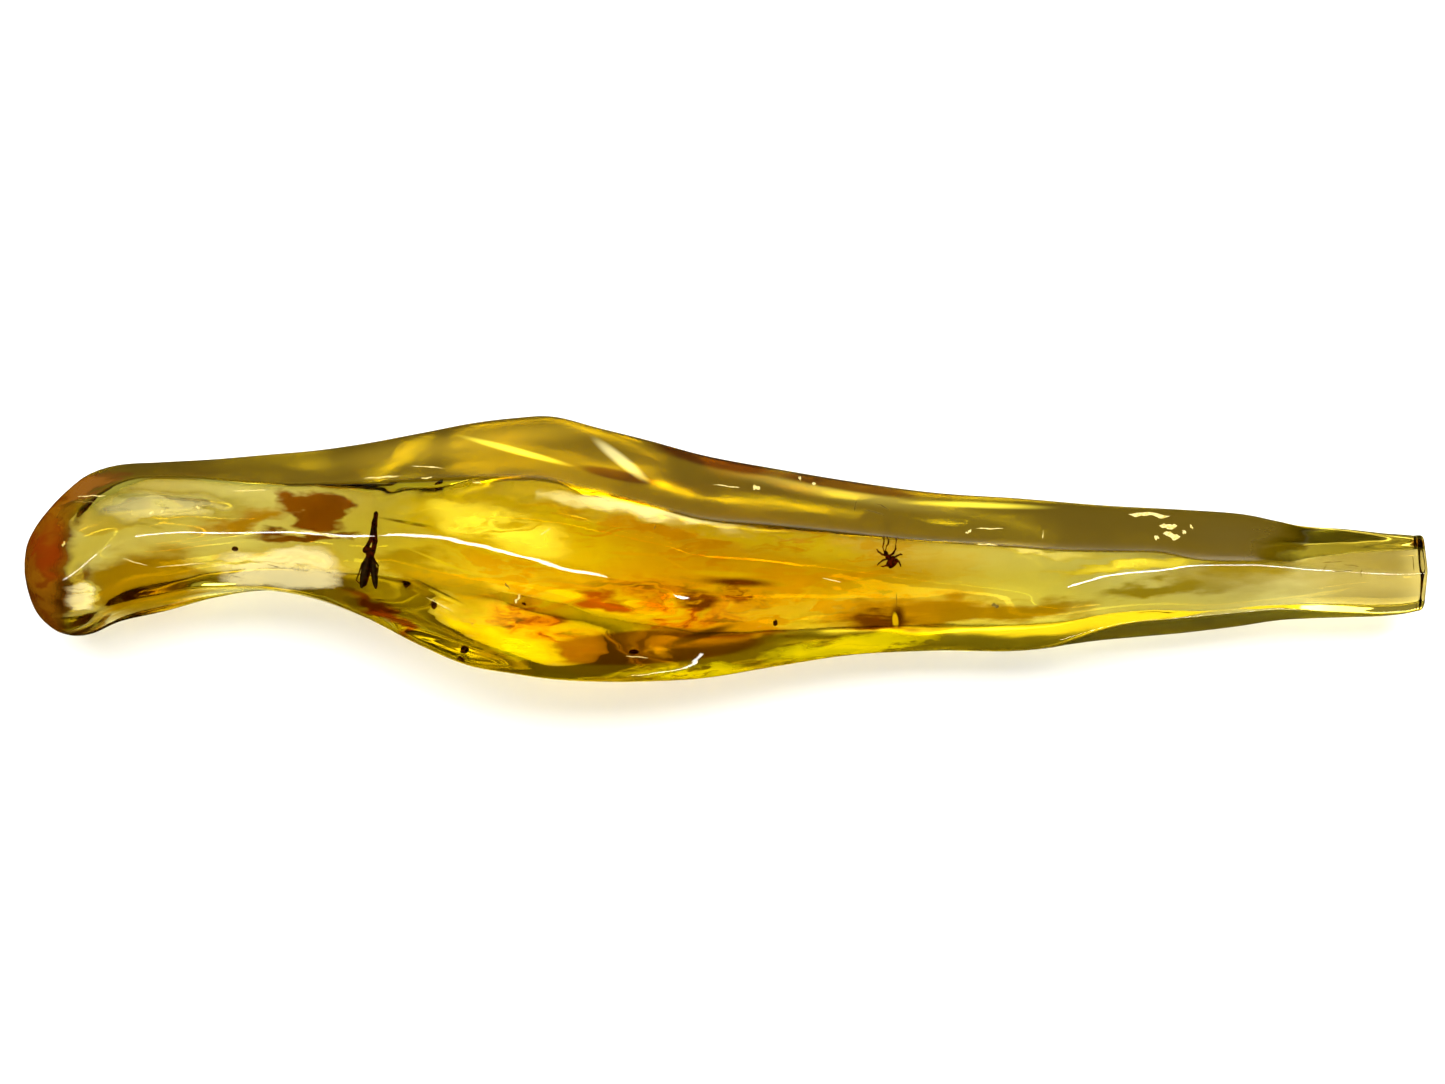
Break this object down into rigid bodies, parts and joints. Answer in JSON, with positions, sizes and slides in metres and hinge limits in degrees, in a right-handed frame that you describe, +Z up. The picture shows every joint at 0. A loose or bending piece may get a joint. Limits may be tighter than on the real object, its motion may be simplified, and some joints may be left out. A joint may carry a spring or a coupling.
{
  "type": "copal with insects",
  "caption": "Hand-polished finger of clear golden copal resin with insects and bark crumbs sealed inside, lying on its flat underside.",
  "frame": {"origin": "on the surface it lies on, below the middle of the stone's length and width", "axes": "+X along the stone towards its narrow cut end, +Y towards the edge that is uppermost in the picture, +Z up"},
  "size_m": [0.1, 0.0188, 0.0132],
  "materials": {
    "copal": "clear golden tree resin, hand polished, with a thin brown weathered skin at the rounded end",
    "gnat_cuticle": "dark red-brown insect cuticle, slightly glossy",
    "beetle_shell": "red-brown beetle shell, slightly glossy",
    "bark": "dark brown broken bark, matt"
  },
  "bodies": {
    "root": {"copal_upper": "copal", "copal_lower": "copal", "winged_gnat": "gnat_cuticle", "small_beetle": "beetle_shell", "bark_crumb_neck": "bark", "bark_crumb_shoulder": "bark", "bark_crumb_crest": "bark", "bark_crumb_rim": "bark", "bark_crumb_seed": "bark", "bark_crumb_belly": "bark", "bark_crumb_middle": "bark"}
  },
  "joints": []
}
